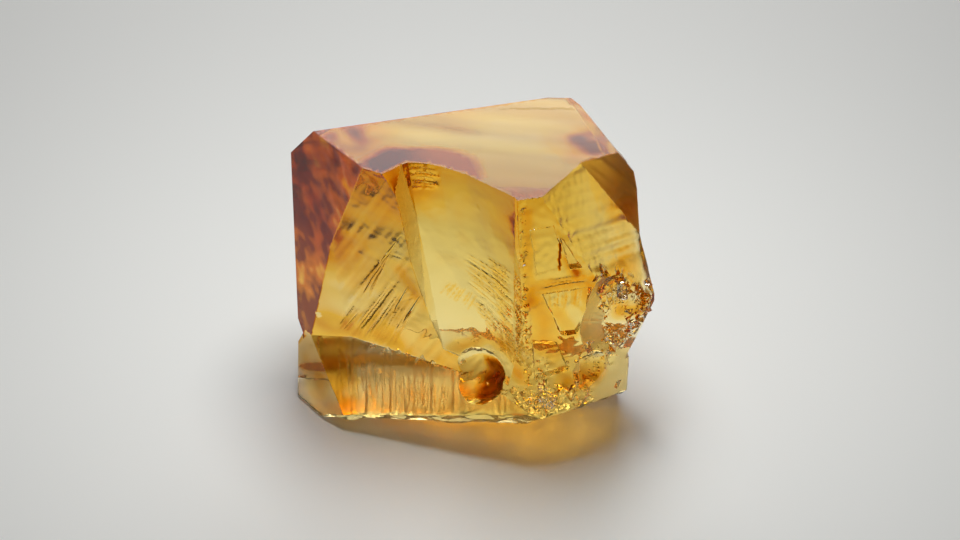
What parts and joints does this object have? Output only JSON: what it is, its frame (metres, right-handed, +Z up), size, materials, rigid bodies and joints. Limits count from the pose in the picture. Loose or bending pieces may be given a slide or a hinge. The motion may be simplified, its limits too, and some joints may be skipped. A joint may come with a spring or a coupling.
{
  "type": "citrine crystal fragment",
  "caption": "Transparent golden block of citrine quartz with a flat top, flat growth faces, a split and chipped front and a low ledge at its foot; it stands on a flat base.",
  "frame": {"origin": "middle of the crystal's footprint, on the plane that its base rests on", "axes": "+Z up from the base to the flat top; +X along the crystal's long side; -Y towards the broken front with the ledge at its foot"},
  "size_m": [0.0216, 0.0138, 0.0185],
  "materials": {
    "citrine": "glassy, transparent, golden yellow to deep orange; frosted along the breaks"
  },
  "bodies": {
    "root": {"citrine_crystal": "citrine"}
  },
  "joints": []
}
